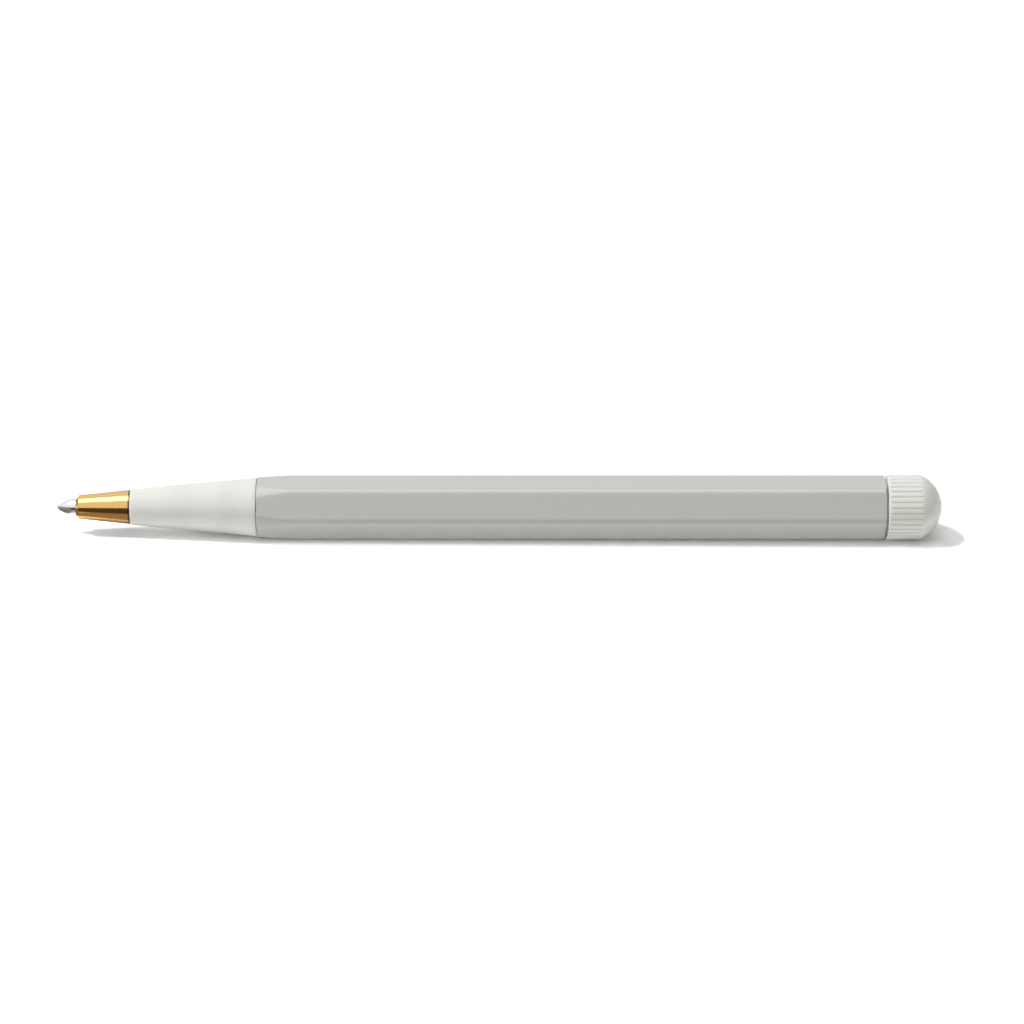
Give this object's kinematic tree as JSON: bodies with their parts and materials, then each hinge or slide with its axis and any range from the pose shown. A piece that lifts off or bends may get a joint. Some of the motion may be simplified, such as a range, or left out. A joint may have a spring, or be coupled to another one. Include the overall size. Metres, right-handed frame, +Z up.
{
  "type": "twist ballpoint pen",
  "caption": "Twist-action ballpoint pen with a hexagonal barrel, turned brass nose, off-white grip cone and grooved domed knob.",
  "frame": {"origin": "centre of the underside of the bounding box, below the middle of the pen", "axes": "+X along the pen from the writing tip to the twist knob, +Z up through a flat of the hexagonal barrel"},
  "size_m": [0.142, 0.0104, 0.0104],
  "materials": {
    "ball_steel": "polished",
    "point_steel": "polished",
    "nozzle_plastic": "moulded",
    "tube_plastic": "clear moulded",
    "ink": "liquid",
    "plug_plastic": "moulded",
    "spring_steel": "drawn wire",
    "nose_brass": "turned and polished",
    "off_white_plastic": "satin gloss",
    "bush_brass": "turned",
    "grey_plastic": "satin",
    "sleeve_plastic": "moulded",
    "mechanism_plastic": "moulded",
    "pin_steel": "ground",
    "shaft_aluminium": "turned",
    "ring_rubber": "matt",
    "washer_plastic": "punched"
  },
  "bodies": {
    "barrel_body": {"barrel": "grey_plastic", "barrel_insert": "bush_brass", "guide_sleeve": "sleeve_plastic", "thrust_washer": "sleeve_plastic", "end_bush": "bush_brass"},
    "twist_knob": {"cam_tube": "mechanism_plastic", "drive_shaft": "shaft_aluminium", "friction_ring": "ring_rubber", "seam_washer": "washer_plastic", "knob_insert": "bush_brass", "knob": "off_white_plastic"},
    "refill_carriage": {"point_cone": "point_steel", "refill_nozzle": "nozzle_plastic", "refill_tube": "tube_plastic", "ink_column": "ink", "refill_rear_plug": "plug_plastic", "refill_cup": "mechanism_plastic", "plunger": "mechanism_plastic", "follower_pin": "pin_steel"},
    "rolling_ball": {"writing_ball": "ball_steel"},
    "spring": {"return_spring": "spring_steel"},
    "grip": {"nose_tip": "nose_brass", "grip_cone": "off_white_plastic", "thread_bush": "bush_brass"}
  },
  "joints": [
    {"name": "knob_turn", "type": "hinge", "parent": "barrel_body", "child": "twist_knob", "pos_m": [0.065, 0, 0.00521], "axis": [1, 0, 0], "range_deg": [0, 180]},
    {"name": "refill_slide", "type": "slide", "parent": "barrel_body", "child": "refill_carriage", "axis": [1, 0, 0], "range_m": [0, 0.005], "deforming": ["return_spring"]},
    {"name": "ball_roll", "type": "hinge", "parent": "refill_carriage", "child": "rolling_ball", "pos_m": [-0.07058, 0, 0.00521], "axis": [0, 1, 0], "continuous": true},
    {"name": "grip_travel", "type": "slide", "parent": "barrel_body", "child": "spring", "axis": [-1, 0, 0], "range_m": [0, 0.006]},
    {"name": "grip_turn", "type": "hinge", "parent": "spring", "child": "grip", "pos_m": [-0.05, 0, 0.00521], "axis": [-1, 0, 0], "range_deg": [0, 2880]}
  ],
  "couplings": [
    {"joint": "knob_turn", "follows": "refill_slide", "rad_per_m": 628.32},
    {"joint": "grip_turn", "follows": "grip_travel", "rad_per_m": 8377.6}
  ]
}
